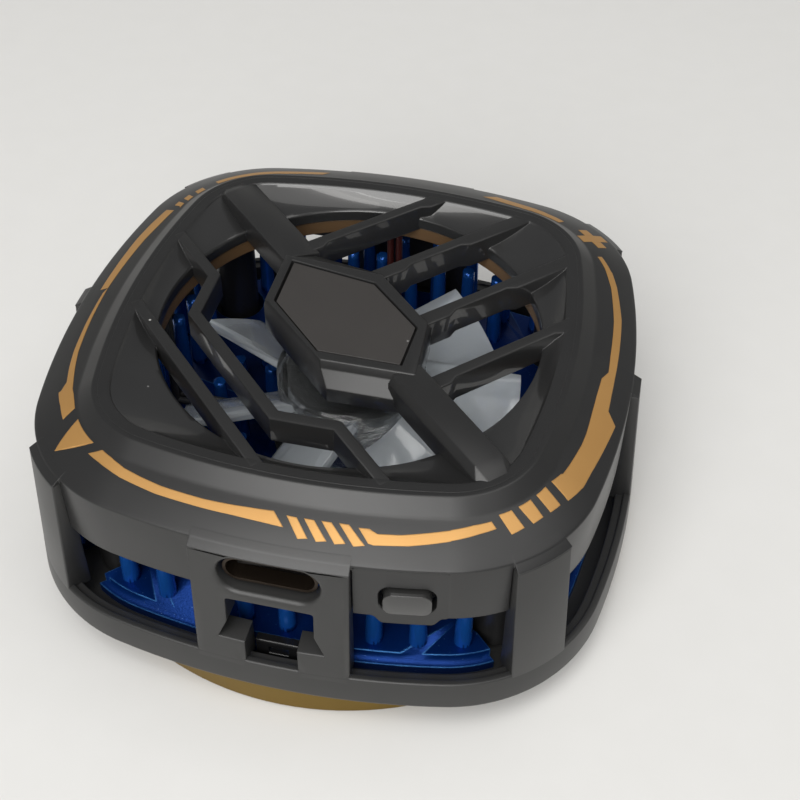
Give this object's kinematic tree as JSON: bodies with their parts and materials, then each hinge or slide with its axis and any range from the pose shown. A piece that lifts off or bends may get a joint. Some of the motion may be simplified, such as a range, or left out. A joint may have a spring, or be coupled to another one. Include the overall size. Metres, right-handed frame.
{
  "type": "phone cooling fan",
  "caption": "Rounded square clip-on phone cooler: slotted grille over a clear fan, blue pin heatsink behind side windows, charging socket, button and round magnetic contact disc.",
  "frame": {"origin": "centre of the contact face under the disc", "axes": "+Z along the fan axis towards the grille, -Y towards the charging socket, +X to the right seen from the socket"},
  "size_m": [0.063, 0.063, 0.0262],
  "materials": {
    "black_satin": "satin",
    "black_shell": "satin",
    "badge_grey": "matte",
    "gold_metal": "satin gold",
    "magnet": "plated",
    "aluminium": "brushed",
    "ceramic": "white ceramic",
    "semiconductor": "dull",
    "foam": "foam",
    "blue_anodised": "blue anodised",
    "steel": "bright",
    "green_board": "solder mask",
    "brass": "turned",
    "bronze": "sintered",
    "white_plastic": "smooth",
    "copper": "enamelled wire",
    "tan_board": "laminate",
    "black_gloss": "gloss",
    "ferrite": "dull",
    "capacitor": "ceramic",
    "socket_steel": "stamped",
    "red_lead": "insulation",
    "black_lead": "insulation",
    "clear_plastic": "frosted clear",
    "yoke_steel": "drawn"
  },
  "bodies": {
    "case": {"top_bezel": "black_satin", "fan_grille": "black_satin", "badge_plate": "badge_grey", "lower_shell": "black_shell", "magnet_carrier": "gold_metal", "ring_magnets": "magnet", "cold_plate": "aluminium", "tec_cold_ceramic": "ceramic", "tec_hot_ceramic": "ceramic", "tec_legs": "semiconductor", "insulation_gasket": "foam", "heatsink_base": "blue_anodised", "heatsink_pins": "blue_anodised", "clamp_screws": "steel", "motor_base": "black_shell", "motor_screws": "steel", "motor_board": "green_board", "bearing_tube": "brass", "sleeve_bearing": "bronze", "thrust_washer": "white_plastic", "stator_core": "steel", "stator_coils": "copper", "control_board": "tan_board", "board_screws": "steel", "control_chip": "black_gloss", "power_inductor": "ferrite", "board_capacitors": "capacitor", "usb_shell": "socket_steel", "usb_tongue": "black_gloss", "switch_body": "white_plastic", "case_screws": "steel", "tec_leads": "red_lead", "fan_leads": "black_lead"},
    "rotor": {"impeller": "clear_plastic", "rotor_yoke": "yoke_steel", "rotor_magnet": "ferrite", "shaft": "steel", "shaft_clip": "white_plastic"},
    "button": {"button_cap": "black_shell", "switch_plunger": "black_gloss"}
  },
  "joints": [
    {"name": "fan_spin", "type": "hinge", "parent": "case", "child": "rotor", "pos_m": [0, 0, 0.012], "axis": [0, 0, 1], "continuous": true},
    {"name": "button_press", "type": "slide", "parent": "case", "child": "button", "axis": [-0.1582, 0.9874, 0], "range_m": [0, 0.0003], "stiffness_N_per_m": 150, "springref_m": -0.0005}
  ]
}
